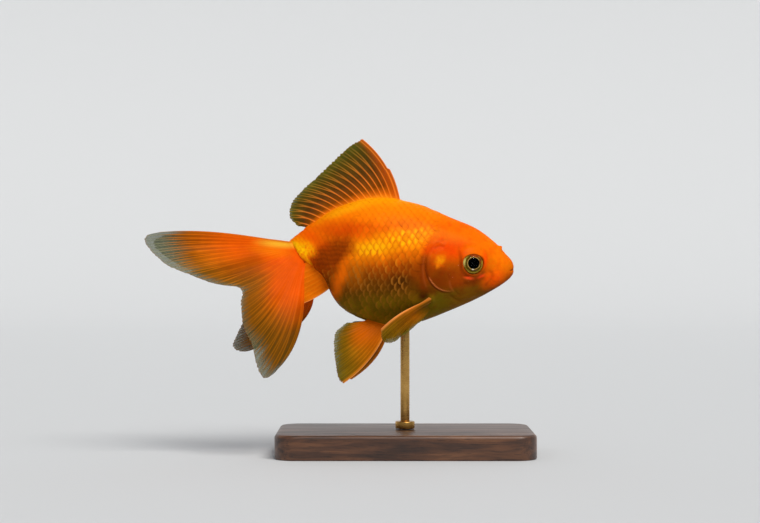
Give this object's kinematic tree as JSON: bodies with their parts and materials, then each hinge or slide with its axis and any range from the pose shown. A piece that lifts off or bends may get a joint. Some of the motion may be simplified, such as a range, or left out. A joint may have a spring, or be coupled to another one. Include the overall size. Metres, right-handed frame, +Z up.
{
  "type": "goldfish",
  "caption": "Life-size orange fantail goldfish, swimming level with its fins spread, held by a brass rod on a flat walnut base.",
  "frame": {"origin": "under the middle of the stand's base, on the surface it stands on, straight below the rod", "axes": "+X towards the fish's snout, +Y towards its left side, +Z up"},
  "size_m": [0.1261, 0.046, 0.1035],
  "materials": {
    "skin": "wet scaled skin, orange with a golden gleam",
    "gill_plate": "smooth wet bony plate",
    "fin": "thin wet web over rays",
    "eye": "wet and glossy",
    "walnut": "oiled",
    "brass": "brushed"
  },
  "bodies": {
    "root": {"head": "skin", "trunk": "skin", "tail_stalk": "skin", "nostril_flap_right": "skin", "nostril_flap_left": "skin", "gill_cover_right": "gill_plate", "gill_cover_left": "gill_plate", "eye_right": "eye", "eye_left": "eye", "fin_dorsal": "fin", "fin_pectoral_right": "fin", "fin_pectoral_left": "fin", "fin_pelvic_right": "fin", "fin_pelvic_left": "fin", "fin_anal_right": "fin", "fin_anal_left": "fin", "tail_fin_right_upper": "fin", "tail_fin_right_lower": "fin", "tail_fin_left_upper": "fin", "tail_fin_left_lower": "fin", "stand_base": "walnut", "stand_collar": "brass", "stand_rod": "brass"}
  },
  "joints": []
}
